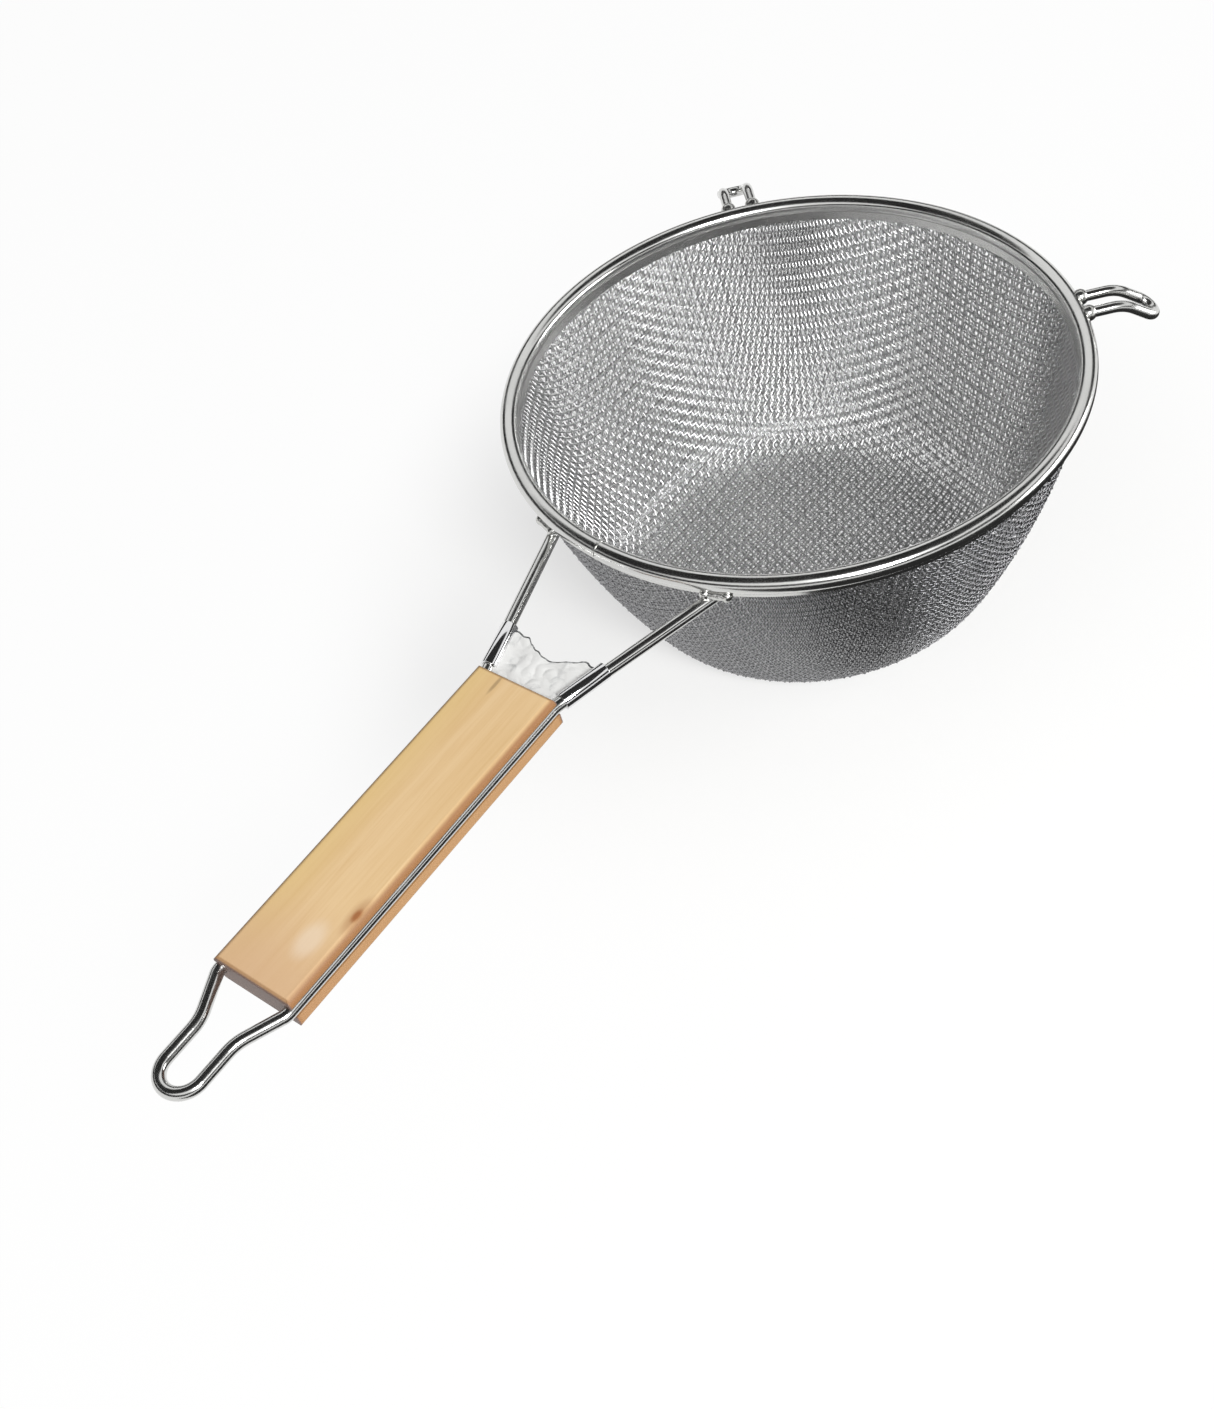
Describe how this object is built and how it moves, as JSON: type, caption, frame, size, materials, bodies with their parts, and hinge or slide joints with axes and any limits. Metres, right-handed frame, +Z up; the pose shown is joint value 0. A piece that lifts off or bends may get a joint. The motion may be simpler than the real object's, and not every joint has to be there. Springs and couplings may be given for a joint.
{
  "type": "double mesh strainer",
  "caption": "Hand-held bowl strainer with a coarse and a fine steel mesh in a rolled rim, a wire-framed wooden grip with a hanging loop, and hook rests for a pot.",
  "frame": {"origin": "centre of the underside of the bowl's flat base", "axes": "+Z up along the bowl's axis, handle along -X, hook rests towards +X"},
  "size_m": [0.4085, 0.2, 0.0917],
  "materials": {
    "mesh_steel": "bright drawn wire, woven",
    "polished_steel": "polished",
    "core_wire": "drawn, hidden inside the rim",
    "gusset_steel": "mottled tinned sheet",
    "weld_steel": "ground spot welds",
    "grip_wood": "sanded, with a thin clear coat"
  },
  "bodies": {
    "root": {"outer_mesh": "mesh_steel", "inner_mesh": "mesh_steel", "rim_band": "polished_steel", "rim_wire": "core_wire", "rim_seam_weld": "weld_steel", "handle_wire": "polished_steel", "wood_grip": "grip_wood", "gusset_plate": "gusset_steel", "ear_left": "polished_steel", "ear_right": "polished_steel", "ear_welds_left": "weld_steel", "ear_welds_right": "weld_steel", "prong_welds_left": "weld_steel", "prong_welds_right": "weld_steel"}
  },
  "joints": []
}
